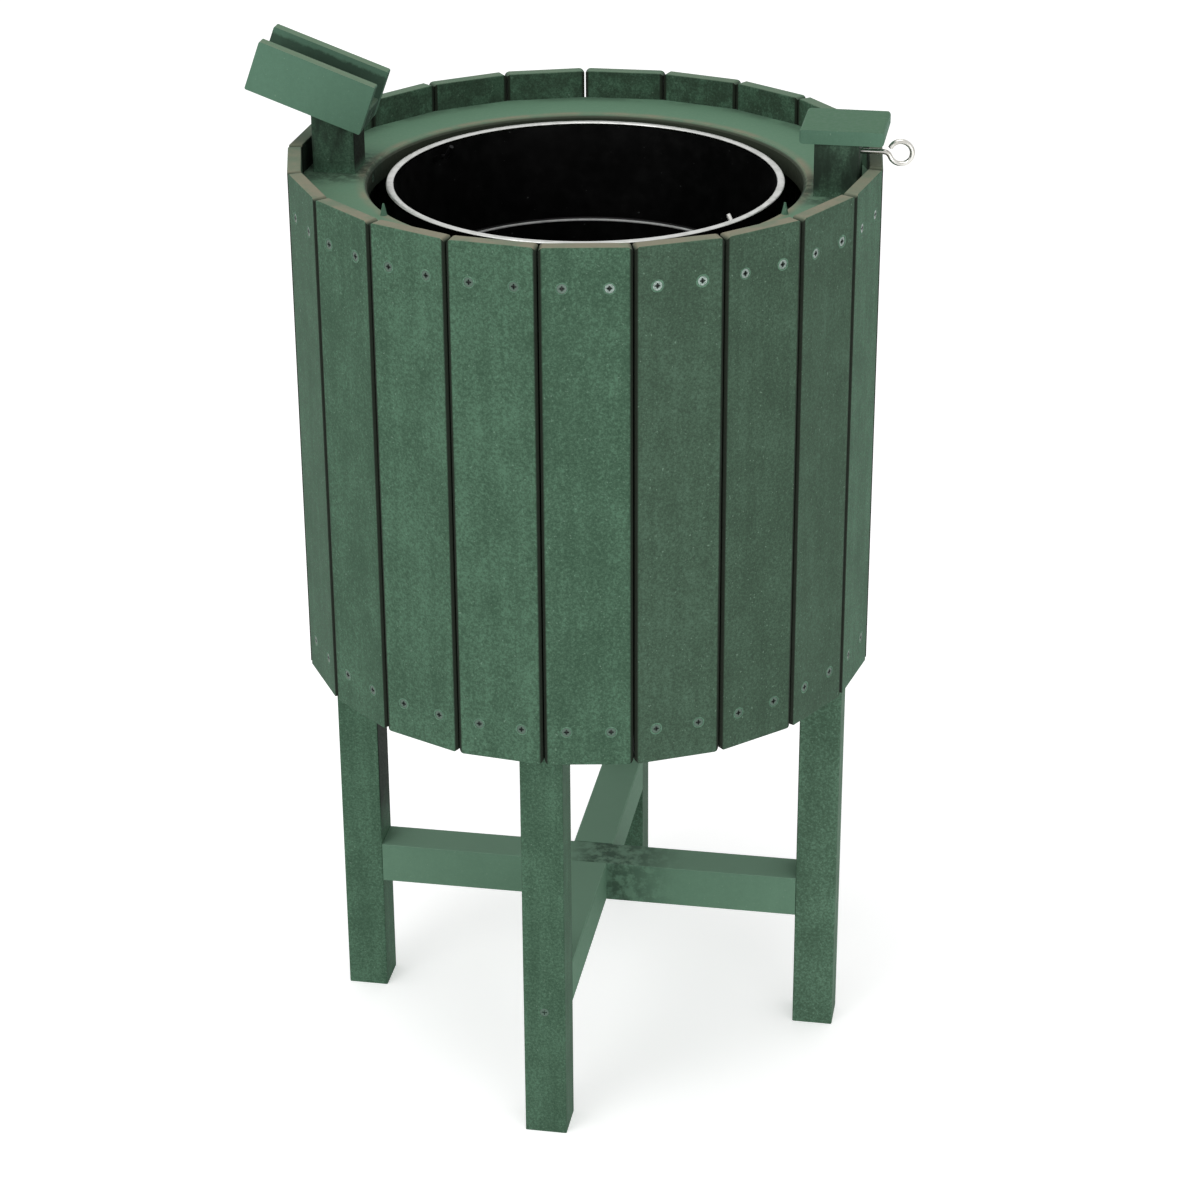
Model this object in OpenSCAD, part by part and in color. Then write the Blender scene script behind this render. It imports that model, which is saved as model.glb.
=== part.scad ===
// Slatted round litter bin on four legs: a ring of upright boards round a
// recessed deck, a lift-out pail, a tilted open holder and a capped post with
// an eye screw. Millimetres, +Z up, origin on the floor under the tub's axis.
// The right-hand post stands on +X and the front leg on -Y.

/* [Staves] */
// Number of upright boards round the tub
stave_count = 21; // [18:1:26]
// Width of one board
stave_w = 76; // [70:1:82]
// Thickness of one board
stave_t = 12; // [10:0.5:15]
// Length of one board
stave_h = 464; // [400:2:540]
// Slit between two boards, at their outer faces
stave_gap = 1.2; // [0.6:0.1:2.4]
// Rounding of the boards' long edges
stave_edge_r = 3; // [1:0.5:4]
// Rounding of the corners of the boards' faces
stave_corner_r = 6; // [3:0.5:10]
// Bearing of the first slit from the front leg, in degrees
stave_phase = 1.5; // [0:0.5:8]
// Height of the boards' top ends above the floor
top_h = 855; // [780:5:940]

/* [Deck and base rings] */
// Depth of the deck's top face below the boards' top ends
deck_drop = 25; // [18:1:40]
// Thickness of the deck ring
deck_t = 19; // [16:1:25]
// Width of the deck ring from the boards to its round hole
deck_w = 55; // [52:1:62]
// Easing of the deck's round edge
deck_ease = 3; // [1:0.5:5]
// Thickness of the base ring
base_t = 19; // [16:1:25]
// Width of the base ring from the boards to its round hole
base_w = 94; // [86:1:104]
// Height of the base ring's underside above the boards' lower ends
base_rise = 22; // [16:1:40]
// Thickness of the floor boards that carry the pail
slat_t = 19; // [15:1:25]
// Gap between two floor boards
slat_gap = 10; // [5:1:16]
// How far the floor boards reach past the pail's base
slat_margin = 37; // [28:1:40]

/* [Legs and brace] */
// Side of the square legs and posts
leg_s = 38; // [32:1:42]
// Gap between a leg's outer face and the boards
leg_inset = 6; // [3:0.5:9]
// Height of the right-hand post above the deck
post_rise = 46; // [40:1:60]
// Height of the brace's underside above the floor
brace_rise = 118; // [80:1:200]
// Height of the brace's bars
brace_h = 40; // [32:1:60]
// Diameter of the dowel through the brace's crossing
dowel_d = 12; // [8:1:16]
// Length of the dowel inside each short bar
dowel_grip = 40; // [25:1:60]
// Diameter of the dowels in the tops of the legs and of the right-hand post
top_dowel_d = 10; // [8:1:12]
// Length of those dowels inside the leg or post
top_dowel_grip = 25; // [20:1:26]

/* [Holder on the left post] */
// Length of the holder's side plates
holder_len = 107; // [90:1:120]
// Height of the holder's side plates
holder_h = 45; // [38:1:56]
// Thickness of the holder's side plates
holder_plate_t = 11; // [8:0.5:15]
// Thickness of the holder's floor block
holder_floor_t = 19; // [14:1:22]
// Tilt of the holder, outer end up, in degrees
holder_tilt = 20; // [0:1:30]
// Height of the holder's middle line above the deck, at the post's axis
holder_rise = 72; // [64:1:90]
// How far the holder's middle lies outside the post's axis
holder_shift = 17; // [12:1:24]
// Diameter of the dowels that pin the plates to the floor block
holder_dowel_d = 8; // [5:1:9]
// Depth of those dowels in each plate
holder_dowel_bite = 6; // [3:0.5:7]

/* [Cap and eye on the right post] */
// Length of the cap board along the post's radius
cap_len = 72; // [60:1:84]
// Depth of the cap board across it
cap_depth = 66; // [50:1:80]
// Thickness of the cap board
cap_t = 12; // [10:0.5:16]
// How far the cap's middle lies outside the post's axis
cap_out = 4; // [0:0.5:8]
// How far the cap's middle lies behind the post's axis
cap_back = 13; // [0:0.5:16]
// Outer diameter of the screw eye
eye_d = 24; // [18:1:32]
// Thickness of the screw eye's wire
eye_wire = 4.5; // [3:0.5:6]
// Distance from the post's outer face to the eye's middle
eye_reach = 34; // [30:1:40]
// Depth of the eye's axis below the post's top
eye_drop = 10; // [8:0.5:16]
// Length of the screw eye's shank inside the post
eye_grip = 14; // [8:1:15]

/* [Screws] */
// Diameter of a screw's flat head
screw_head_d = 8; // [6:0.5:10]
// Diameter of a screw's shank
screw_d = 4; // [3:0.5:5]
// Distance of a stave screw from the board's long edge
screw_edge = 19; // [14:1:24]
// Length of a stave screw
stave_screw_len = 26; // [24:1:34]
// Length of a screw that joins the deck to a post
leg_screw_len = 30; // [24:1:34]
// Length of a screw through a leg into the brace
brace_screw_len = 70; // [60:1:90]
// Length of a screw through a floor board
slat_screw_len = 32; // [28:1:36]
// Length of the screw that holds the holder on its post
top_screw_len = 40; // [34:1:48]

/* [Pail] */
// Gap between the pail's rim and the deck's hole
pail_gap = 16.3; // [10:0.1:22]
// Width of the rim ring from its inner to its outer edge
rim_w = 6.8; // [5:0.1:9]
// Height of the rim ring
rim_h = 3; // [2:0.5:5]
// Thickness of the pail's wall
pail_wall = 1.5; // [1:0.1:2.5]
// Thickness of the pail's floor
pail_floor = 2; // [1:0.5:4]
// How much smaller the pail's base radius is than its mouth radius
pail_taper = 37; // [20:1:45]
// Depth of the stiffening bead below the rim
bead_drop = 90; // [60:1:160]
// Radius of the bead's round section
bead_r = 2.5; // [1.5:0.1:4]

/* [Pail handle] */
// Bearing of the visible end of the handle from the front leg, in degrees
ear_bearing = 61; // [45:1:75]
// Depth of the handle's axis below the rim
ear_drop = 12; // [10:0.5:16]
// Width of an ear plate
ear_w = 30; // [26:1:36]
// Height of an ear plate
ear_h = 18; // [14:1:20]
// Thickness of an ear plate
ear_t = 2.5; // [2:0.1:4]
// Diameter of the handle's wire
bail_wire = 4; // [3:0.5:4.5]
// Clear space between the handle and the rim's edge, where it swings past it
bail_past_rim = 2.1; // [1.6:0.1:3]
// Radius of the handle's bends, to the middle of the wire
bail_bend_r = 4; // [3.5:0.5:6]
// Angle of the stored handle below level, in degrees
bail_rest = 20; // [8:1:20]
// Radial clearance of the wire in the ears
bail_clear = 0.08; // [0.04:0.01:0.1]
// Length of the straight tip of the handle's hooks
hook_len = 13; // [8:1:15]

/* [Hidden] */
$fn = 48;
slit = 360 / stave_count;
pitch = stave_w + stave_gap;
wall_out = pitch / 2 / tan(slit / 2);
wall_in = wall_out - stave_t;
tub_bottom = top_h - stave_h;

deck_top = top_h - deck_drop;
deck_low = deck_top - deck_t;
deck_hole_r = wall_in - deck_w;
base_low = tub_bottom + base_rise;
base_top = base_low + base_t;
base_hole_r = wall_in - base_w;
floor_top = base_top + slat_t;

leg_out = wall_in - leg_inset;
leg_in = leg_out - leg_s;
leg_mid = leg_out - leg_s / 2;
mortise_clear = 0.2;
stave_end_r = 1.2;
leg_edge_r = 1.5;
right_top = deck_top + post_rise;
brace_mid = brace_rise + brace_h / 2;
brace_screw_z = brace_rise + brace_h / 4;
// What is left of the deck or the cap above a blind dowel, and how far the dowel
// stands inside the leg's middle, clear of the eye's shank
dowel_cover = 4;
dowel_inset = 5;

// Screw parts: the cross recess takes these shares of the head's width and depth
recess_span = 0.6;
recess_sink = 0.8;
head_depth = (screw_head_d - screw_d) / 2;
recess_len = screw_head_d * recess_span;
recess_w = screw_d / 4;
recess_depth = head_depth * recess_sink;
deck_screw_z = deck_top - deck_t / 2;
base_screw_z = base_low + base_t / 2;
flush = 0.2;
over = 1;

// Pail, from the deck's hole inwards and from the floor boards upwards
rim_out = deck_hole_r - pail_gap;
rim_in = rim_out - rim_w;
rim_top = deck_top;
rim_low = rim_top - rim_h;
mouth_r = rim_in + pail_wall;
pail_low = floor_top;
pail_wall_h = rim_low - pail_low;
base_r = mouth_r - pail_taper;
pail_slope = pail_taper / pail_wall_h;
bead_z = rim_top - bead_drop;

// Ears and rivets
ear_z = rim_top - ear_drop;
ear_wall_r = mouth_r - (rim_low - ear_z) * pail_slope;
ear_turn = ear_bearing - 90;
ear_corner_r = 3;
rivet_r = 1.6;
rivet_head_r = 3.2;
rivet_head_h = 1;
rivet_edge = 5;
rivet_side = ear_w / 2 - rivet_edge;
rivet_room = 0.05;
// The curved and sloping wall rises this far under a flat rivet head, with a little room
rivet_seat = rivet_head_r * (pail_slope + rivet_side / ear_wall_r) + rivet_room;

// Handle: radius of its arc, where its hooks start and how far they lean inwards
bail_r = rim_out + bail_past_rim + bail_wire / 2;
wall_hole_clear = 0.5;
hook_gap = 4;
hook_start = ear_wall_r - pail_wall - hook_gap;
hook_lean = 33;
hook_ball_r = bail_wire / 2 + 0.1;

// Floor boards
slat_half = base_r + slat_margin;
slat_w = (2 * slat_half - 3 * slat_gap) / 4;
slat_leg_clear = 2;
slat_wall_clear = 4;
slat_inner_end = leg_in - slat_leg_clear;
slat_outer_end = sqrt(pow(wall_in - slat_wall_clear, 2) - pow(slat_half, 2));
slat_edge_r = 2;
slat_screw_end = 10;

// Holder: its frame has X along the channel, outer end at +X, and +Z across it
holder_z = deck_top + holder_rise;
holder_low = -holder_h / 2;
holder_block_mid = holder_low + holder_floor_t / 2;
holder_inner = holder_shift - holder_len / 2;
holder_outer = holder_shift + holder_len / 2;
holder_edge_r = 1.5;
end_screw_len = 20;
dowel_near = leg_s / 4;
dowel_end = 15;
dowel_far = holder_outer - dowel_end;

// Cap and eye
cap_edge_r = 3;
eye_z = right_top - eye_drop;
eye_x = leg_out + eye_reach;
eye_mid_r = (eye_d - eye_wire) / 2;

// Small pointed stops that stand on the deck at its hole
stop_bearings = [-50, 69];
stop_r = 3;
stop_tip_r = 0.8;
stop_h = 10;

// Colours
green = [0.33, 0.46, 0.38];
deep_green = [0.27, 0.38, 0.32];
steel = [0.82, 0.82, 0.80];
black = [0.06, 0.06, 0.06];
dull_steel = [0.35, 0.35, 0.34];
timber = [0.55, 0.45, 0.32];

function two_digits(i) = i < 10 ? str("0", i) : str(i);
function stave_name(i) = str("stave_", two_digits(i));
// Direction angle of a bearing counted from the front leg towards the right
function heading(bearing) = bearing - 90;
function stave_heading(i) = heading(stave_phase + slit * (i - 0.5));

// ---- Shared shapes ----

// Rectangle centred on the origin with round corners
module round_rect(x, y, r) {
    square([x - 2 * r, y], center = true);
    square([x, y - 2 * r], center = true);
    for (sx = [-1, 1], sy = [-1, 1])
        translate([sx * (x / 2 - r), sy * (y / 2 - r)])
            circle(r);
}

// Bar centred on X and Y and standing on z = 0, with its long edges round
module upright(x, y, h, r) {
    linear_extrude(h)
        round_rect(x, y, r);
}

// Board lying flat, centred on X and Y, with every edge of its section round
module flat_board(x, y, h, r) {
    intersection() {
        translate([0, 0, h / 2])
            rotate([90, 0, 0])
                linear_extrude(y, center = true)
                    round_rect(x, h, r);
        linear_extrude(h)
            round_rect(x, y, r);
    }
}

// Flat-head screw: head face at z = 0, point down the -Z axis
module screw(len) {
    difference() {
        union() {
            translate([0, 0, -head_depth])
                cylinder(h = head_depth, r1 = screw_d / 2, r2 = screw_head_d / 2);
            translate([0, 0, -len])
                cylinder(h = len - head_depth, r = screw_d / 2);
        }
        for (a = [0, 90])
            rotate([0, 0, a])
                translate([0, 0, -recess_depth / 2 + over / 2])
                    cube([recess_len, recess_w, recess_depth + over], center = true);
    }
}

// The room that a screw takes in what it joins
module screw_room(len) {
    translate([0, 0, -head_depth])
        cylinder(h = head_depth, r1 = screw_d / 2, r2 = screw_head_d / 2);
    translate([0, 0, -len])
        cylinder(h = len, r = screw_d / 2);
    cylinder(h = over, r = screw_head_d / 2);
}

// Places of one stave's two screws at one level
module at_screw_pair(i, z) {
    for (side = [-1, 1])
        rotate([0, 0, stave_heading(i)])
            translate([wall_out - flush, side * (stave_w / 2 - screw_edge), z])
                rotate([0, 90, 0])
                    children();
}

module at_stave_screws(z) {
    for (i = [1 : stave_count])
        at_screw_pair(i, z)
            children();
}

module stave_screw_rooms(z) {
    at_stave_screws(z)
        screw_room(stave_screw_len);
}

// Outline of the tub's inner faces, which both rings fill
module tub_outline() {
    corner_r = wall_in / cos(slit / 2);
    polygon([
        for (i = [0 : stave_count - 1])
            corner_r * [cos(heading(stave_phase + slit * i)), sin(heading(stave_phase + slit * i))]
    ]);
}

// Square hole in a ring for a leg at a direction angle
module mortise(angle, z, h) {
    side = leg_s + 2 * mortise_clear;
    rotate([0, 0, angle])
        translate([leg_mid - side / 2, -side / 2, z])
            cube([side, side, h]);
}

// ---- Tub ----

// Board's section before its edges are rounded: its sides are cut to the tub's mitre
module stave_section() {
    inner_w = stave_w - 2 * stave_t * tan(slit / 2);
    polygon([
        [stave_t / 2, -stave_w / 2], [stave_t / 2, stave_w / 2],
        [-stave_t / 2, inner_w / 2], [-stave_t / 2, -inner_w / 2]
    ]);
}

module stave(i) {
    color(green)
        difference() {
            rotate([0, 0, stave_heading(i)])
                translate([wall_out - stave_t / 2, 0, tub_bottom])
                    intersection() {
                        upright(stave_t, stave_w, stave_h, stave_edge_r);
                        linear_extrude(stave_h)
                            stave_section();
                        translate([0, 0, stave_h / 2])
                            rotate([90, 0, 0])
                                linear_extrude(stave_w, center = true)
                                    round_rect(stave_t, stave_h, stave_end_r);
                        translate([0, 0, stave_h / 2])
                            rotate([90, 0, 90])
                                linear_extrude(stave_t, center = true)
                                    round_rect(stave_w, stave_h, stave_corner_r);
                    }
            for (z = [deck_screw_z, base_screw_z])
                at_screw_pair(i, z)
                    screw_room(stave_screw_len);
        }
}

// Sideways from the deck's hole into the two posts
module at_leg_top_screws() {
    for (a = [0, 180])
        rotate([0, 0, a])
            translate([deck_hole_r, 0, deck_screw_z])
                rotate([0, -90, 0])
                    translate([0, 0, -flush])
                        children();
}

module leg_top_screw_rooms() {
    at_leg_top_screws()
        screw_room(leg_screw_len + over);
}

module deck_ring() {
    color(green)
        difference() {
            translate([0, 0, deck_low])
                linear_extrude(deck_t)
                    tub_outline();
            translate([0, 0, deck_low - over])
                cylinder(h = deck_t + 2 * over, r = deck_hole_r, $fn = 96);
            translate([0, 0, deck_top - deck_ease])
                cylinder(h = deck_ease + over, r1 = deck_hole_r,
                         r2 = deck_hole_r + deck_ease + over, $fn = 96);
            for (a = [0, 180])
                mortise(a, deck_low - over, deck_t + 2 * over);
            stave_screw_rooms(deck_screw_z);
            leg_top_screw_rooms();
            leg_dowels();
        }
}

module rim_stops() {
    color(green)
        for (bearing = stop_bearings)
            rotate([0, 0, heading(bearing)])
                translate([deck_hole_r + deck_ease + stop_r, 0, deck_top])
                    cylinder(h = stop_h, r1 = stop_r, r2 = stop_tip_r);
}

module base_ring() {
    color(deep_green)
        difference() {
            translate([0, 0, base_low])
                linear_extrude(base_t)
                    tub_outline();
            translate([0, 0, base_low - over])
                cylinder(h = base_t + 2 * over, r = base_hole_r, $fn = 96);
            for (a = [0, 90, 180, 270])
                mortise(a, base_low - over, base_t + 2 * over);
            stave_screw_rooms(base_screw_z);
            slat_screw_rooms();
        }
}

// ---- Floor boards under the pail ----

// Middle of a floor board, counted from the front
function slat_y(k) = -slat_half + slat_w / 2 + k * (slat_w + slat_gap);
function slat_end(k) = (k == 0 || k == 3) ? slat_outer_end : slat_inner_end;
function slat_screw_x(k) = slat_end(k) - slat_screw_end;

module at_slat_screws(k) {
    for (sx = [-1, 1], sy = [-1, 1])
        translate([sx * slat_screw_x(k), slat_y(k) + sy * slat_w / 4, floor_top - flush])
            children();
}

module slat_screw_rooms() {
    for (k = [0 : 3])
        at_slat_screws(k)
            screw_room(slat_screw_len);
}

module floor_slat(k) {
    color(deep_green)
        difference() {
            translate([0, slat_y(k), base_top])
                flat_board(2 * slat_end(k), slat_w, slat_t, slat_edge_r);
            at_slat_screws(k)
                screw_room(slat_screw_len);
        }
}

// ---- Legs ----

module leg_blank(angle, h) {
    rotate([0, 0, angle])
        translate([leg_mid, 0, 0])
            upright(leg_s, leg_s, h, leg_edge_r);
}

module leg_cuts() {
    stave_screw_rooms(deck_screw_z);
    stave_screw_rooms(base_screw_z);
    leg_top_screw_rooms();
    brace_screw_rooms();
}

module leg_left() {
    color(green)
        difference() {
            leg_blank(180, holder_z);
            in_holder_frame()
                translate([-holder_len, -leg_s, holder_low])
                    cube([2 * holder_len, 2 * leg_s, 2 * holder_h]);
            leg_cuts();
            holder_screw_rooms();
        }
}

module leg_right() {
    color(green)
        difference() {
            leg_blank(0, right_top);
            leg_cuts();
            cap_dowel();
            eye_room();
        }
}

module short_leg(angle) {
    color(green)
        difference() {
            leg_blank(angle, deck_low);
            leg_cuts();
            leg_dowels();
        }
}

module leg_front() {
    short_leg(270);
}

module leg_rear() {
    short_leg(90);
}

// Blind dowel at a leg's top: it ends below the face of the board that it joins
module top_dowel(angle, joint_z, board_t) {
    color(timber)
        rotate([0, 0, angle])
            translate([leg_mid - dowel_inset, 0, joint_z - top_dowel_grip])
                cylinder(h = top_dowel_grip + board_t - dowel_cover, d = top_dowel_d);
}

module leg_dowels() {
    for (a = [90, 270])
        top_dowel(a, deck_low, deck_t);
}

// ---- Brace ----

module at_brace_screws() {
    for (a = [0, 90, 180, 270])
        rotate([0, 0, a])
            translate([leg_out - flush, 0, brace_screw_z])
                rotate([0, 90, 0])
                    children();
}

module brace_screw_rooms() {
    at_brace_screws()
        screw_room(brace_screw_len);
}

// Bar along X from x1 to x2 at the brace's height
module brace_bar(x1, x2) {
    translate([x1, 0, brace_mid])
        rotate([90, 0, 90])
            linear_extrude(x2 - x1)
                round_rect(leg_s, brace_h, leg_edge_r);
}

module brace_dowel_room() {
    translate([0, 0, brace_mid])
        rotate([90, 0, 0])
            cylinder(h = leg_s + 2 * dowel_grip, d = dowel_d, center = true);
}

module brace_long() {
    color(green)
        difference() {
            brace_bar(-leg_in, leg_in);
            brace_dowel_room();
            brace_screw_rooms();
        }
}

module short_brace(angle) {
    color(green)
        difference() {
            rotate([0, 0, angle])
                brace_bar(leg_s / 2, leg_in);
            brace_dowel_room();
            brace_screw_rooms();
        }
}

module brace_front() {
    short_brace(270);
}

module brace_rear() {
    short_brace(90);
}

module brace_dowel() {
    color(timber)
        brace_dowel_room();
}

// ---- Holder ----

// Moves a thing from the holder's own frame to the left post
module in_holder_frame() {
    translate([-leg_mid, 0, holder_z])
        rotate([0, 0, 180])
            rotate([0, -holder_tilt, 0])
                children();
}

module holder_dowel_shapes() {
    in_holder_frame()
        for (x = [dowel_near, dowel_far])
            translate([x, 0, holder_block_mid])
                rotate([90, 0, 0])
                    cylinder(h = leg_s + 2 * holder_dowel_bite, d = holder_dowel_d, center = true);
}

module holder_plate(side) {
    color(green)
        difference() {
            in_holder_frame()
                translate([holder_shift, side * (leg_s / 2 + holder_plate_t / 2), 0])
                    rotate([90, 0, 0])
                        linear_extrude(holder_plate_t, center = true)
                            round_rect(holder_len, holder_h, holder_edge_r);
            holder_dowel_shapes();
        }
}

// The holder's frame is turned half round, so its +Y side faces the front
module holder_plate_front() {
    holder_plate(1);
}

module holder_plate_rear() {
    holder_plate(-1);
}

module holder_floor() {
    color(deep_green)
        difference() {
            in_holder_frame()
                translate([holder_shift, 0, holder_block_mid])
                    rotate([90, 0, 0])
                        linear_extrude(leg_s, center = true)
                            round_rect(holder_len, holder_floor_t, holder_edge_r);
            holder_dowel_shapes();
            holder_screw_rooms();
        }
}

module holder_dowels() {
    color(timber)
        holder_dowel_shapes();
}

// One screw down through the floor block into the post, one in its inner end
module at_holder_screws() {
    in_holder_frame() {
        translate([0, 0, holder_low + holder_floor_t - flush])
            children(0);
        translate([holder_inner + flush, 0, holder_block_mid])
            rotate([0, -90, 0])
                children(1);
    }
}

module holder_screw_rooms() {
    at_holder_screws() {
        screw_room(top_screw_len);
        screw_room(end_screw_len);
    }
}

// ---- Cap and eye ----

module cap_dowel() {
    top_dowel(0, right_top, cap_t);
}

module cap_board() {
    color(green)
        difference() {
            translate([leg_mid + cap_out, cap_back, right_top])
                flat_board(cap_len, cap_depth, cap_t, cap_edge_r);
            cap_dowel();
        }
}

module eye_room() {
    translate([leg_out - eye_grip, 0, eye_z])
        rotate([0, 90, 0])
            cylinder(h = eye_grip + over, d = eye_wire);
}

module eye_screw() {
    shank = eye_reach - eye_mid_r;
    color(steel) {
        translate([eye_x, 0, eye_z])
            rotate([90, 0, 0])
                rotate_extrude($fn = 64)
                    translate([eye_mid_r, 0])
                        circle(d = eye_wire, $fn = 24);
        translate([leg_out - eye_grip, 0, eye_z])
            rotate([0, 90, 0])
                cylinder(h = eye_grip + shank, d = eye_wire, $fn = 24);
    }
}

// ---- Screws ----

module stave_screws_top() {
    color(steel)
        at_stave_screws(deck_screw_z)
            screw(stave_screw_len);
}

module stave_screws_bottom() {
    color(steel)
        at_stave_screws(base_screw_z)
            screw(stave_screw_len);
}

module leg_screws() {
    color(steel)
        at_leg_top_screws()
            screw(leg_screw_len);
}

module brace_screws() {
    color(steel)
        at_brace_screws()
            screw(brace_screw_len);
}

module slat_screws() {
    color(steel)
        for (k = [0 : 3])
            at_slat_screws(k)
                screw(slat_screw_len);
}

module holder_screws() {
    color(steel)
        at_holder_screws() {
            screw(top_screw_len);
            screw(end_screw_len);
        }
}

// ---- Pail ----

// Radius of the pail's outer face at a height
function pail_r(z) = mouth_r - (rim_low - z) * pail_slope;

// Points of a band that follows the pail's taper between two heights
function taper_band(z1, z2, in, out) =
    [[pail_r(z1) + in, z1], [pail_r(z1) + out, z1], [pail_r(z2) + out, z2], [pail_r(z2) + in, z2]];

// Turns a thing from the ear's own frame, +X outwards through the visible ear
module at_ears() {
    for (a = [0, 180])
        rotate([0, 0, ear_turn + a])
            translate([0, 0, ear_z])
                children();
}

module pin_holes(r) {
    at_ears()
        translate([ear_wall_r - pail_wall - over, 0, 0])
            rotate([0, 90, 0])
                cylinder(h = pail_wall + ear_t + 2 * over, r = r);
}

module rivet_holes() {
    at_ears()
        for (side = [-1, 1])
            translate([ear_wall_r - pail_wall - over, side * rivet_side, 0])
                rotate([0, 90, 0])
                    cylinder(h = pail_wall + ear_t + 2 * over, r = rivet_r);
}

module pail_body() {
    color(black)
        difference() {
            union() {
                rotate_extrude($fn = 96)
                    polygon(taper_band(pail_low, rim_low, -pail_wall, 0));
                rotate_extrude($fn = 96)
                    translate([pail_r(bead_z) - pail_wall / 2, bead_z])
                        circle(bead_r, $fn = 24);
            }
            pin_holes(bail_wire / 2 + wall_hole_clear);
            rivet_holes();
        }
}

// Pressed disc that the wall's lower edge holds
module pail_base() {
    color(black)
        rotate_extrude($fn = 96)
            polygon([
                [0, pail_low], [base_r - pail_wall, pail_low],
                [pail_r(pail_low + pail_floor) - pail_wall, pail_low + pail_floor],
                [0, pail_low + pail_floor]
            ]);
}

module pail_rim() {
    color(steel)
        rotate_extrude($fn = 96)
            translate([(rim_in + rim_out) / 2, (rim_low + rim_top) / 2])
                round_rect(rim_w, rim_h, rim_h / 2 - flush);
}

module pail_ears() {
    // thick enough to reach past both faces of the curved plate
    slab = 4 * ear_t;
    color(dull_steel)
        difference() {
            intersection() {
                rotate_extrude($fn = 96)
                    polygon(taper_band(ear_z - ear_h / 2, ear_z + ear_h / 2, 0, ear_t));
                at_ears()
                    translate([ear_wall_r, 0, 0])
                        rotate([0, 90, 0])
                            linear_extrude(slab, center = true)
                                round_rect(ear_h - 2 * flush, ear_w, ear_corner_r);
            }
            pin_holes(bail_wire / 2 + bail_clear);
            rivet_holes();
        }
}

// Rivets lie level through the wall and the ear, with a flat head on each side
module ear_rivets() {
    at_wall = sqrt(pow(ear_wall_r, 2) - pow(rivet_side, 2));
    inner = at_wall - pail_wall - rivet_head_h - rivet_seat;
    outer = at_wall + ear_t + rivet_seat;
    color(dull_steel)
        at_ears()
            for (side = [-1, 1])
                translate([0, side * rivet_side, 0])
                    rotate([0, 90, 0]) {
                        translate([0, 0, inner])
                            cylinder(h = outer + rivet_head_h / 2 - inner, r = rivet_r);
                        translate([0, 0, inner])
                            cylinder(h = rivet_head_h, r = rivet_head_r);
                        translate([0, 0, outer])
                            cylinder(h = rivet_head_h, r = rivet_head_r);
                    }
}

// Wire that starts at the origin along +X and bends towards +Y
module wire_bend(turn) {
    translate([0, bail_bend_r, 0])
        rotate([0, 0, -90])
            rotate_extrude(angle = turn, $fn = 96)
                translate([bail_bend_r, 0])
                    circle(d = bail_wire, $fn = 24);
}

// Hook inside the pail: the wire turns up there and leans inwards
module handle_hook() {
    sphere(hook_ball_r, $fn = 24);
    rotate([0, -hook_lean, 0])
        cylinder(h = hook_len, d = bail_wire, $fn = 24);
}

// The arc hangs outside the pail, below the level of its ears, and both ends turn
// inwards through the ears to the hooks
module pail_handle() {
    corner_start = bail_r - bail_bend_r;
    color(dull_steel) {
        rotate([0, 0, ear_turn])
            translate([0, 0, ear_z])
                rotate([-bail_rest, 0, 0]) {
                    translate([0, bail_bend_r, 0])
                        rotate_extrude(angle = 180, $fn = 96)
                            translate([bail_r, 0])
                                circle(d = bail_wire, $fn = 24);
                    for (turn = [0, 180])
                        rotate([0, turn, 0])
                            translate([corner_start, 0, 0]) {
                                wire_bend(90);
                                rotate([0, -90, 0])
                                    cylinder(h = corner_start - hook_start, d = bail_wire, $fn = 24);
                            }
                }
        at_ears()
            translate([hook_start, 0, 0])
                handle_hook();
    }
}

// ---- Nodes ----

for (i = [1 : stave_count])
    stave(i);
deck_ring();
rim_stops();
base_ring();
floor_slat(0);  // floor_slat_front
floor_slat(1);  // floor_slat_mid_front
floor_slat(2);  // floor_slat_mid_rear
floor_slat(3);  // floor_slat_rear
leg_left();
leg_right();
leg_front();
leg_rear();
brace_long();
brace_front();
brace_rear();
brace_dowel();
holder_plate_front();
holder_plate_rear();
holder_floor();
holder_dowels();
cap_board();
cap_dowel();
leg_dowels();
eye_screw();
stave_screws_top();
stave_screws_bottom();
leg_screws();
brace_screws();
slat_screws();
holder_screws();
pail_body();
pail_base();
pail_rim();
pail_ears();
ear_rivets();
pail_handle();
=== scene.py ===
import math

import bpy
import numpy as np
from mathutils import Matrix, Vector


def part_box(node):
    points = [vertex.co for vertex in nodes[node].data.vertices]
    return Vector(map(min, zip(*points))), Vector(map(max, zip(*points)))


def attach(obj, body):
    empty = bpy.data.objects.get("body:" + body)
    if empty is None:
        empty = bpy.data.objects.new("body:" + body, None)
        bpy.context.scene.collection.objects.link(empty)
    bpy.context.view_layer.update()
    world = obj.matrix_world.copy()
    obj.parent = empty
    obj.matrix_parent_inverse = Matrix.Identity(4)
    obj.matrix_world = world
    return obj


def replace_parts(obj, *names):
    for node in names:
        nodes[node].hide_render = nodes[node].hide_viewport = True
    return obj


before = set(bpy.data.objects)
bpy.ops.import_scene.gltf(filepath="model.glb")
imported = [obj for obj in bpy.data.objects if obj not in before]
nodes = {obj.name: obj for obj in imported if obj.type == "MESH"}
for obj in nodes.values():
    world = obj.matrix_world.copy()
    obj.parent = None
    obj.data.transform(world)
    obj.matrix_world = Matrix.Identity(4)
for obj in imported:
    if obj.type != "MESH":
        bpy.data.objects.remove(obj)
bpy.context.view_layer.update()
print("frame loaded:", len(nodes), "nodes")

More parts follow.
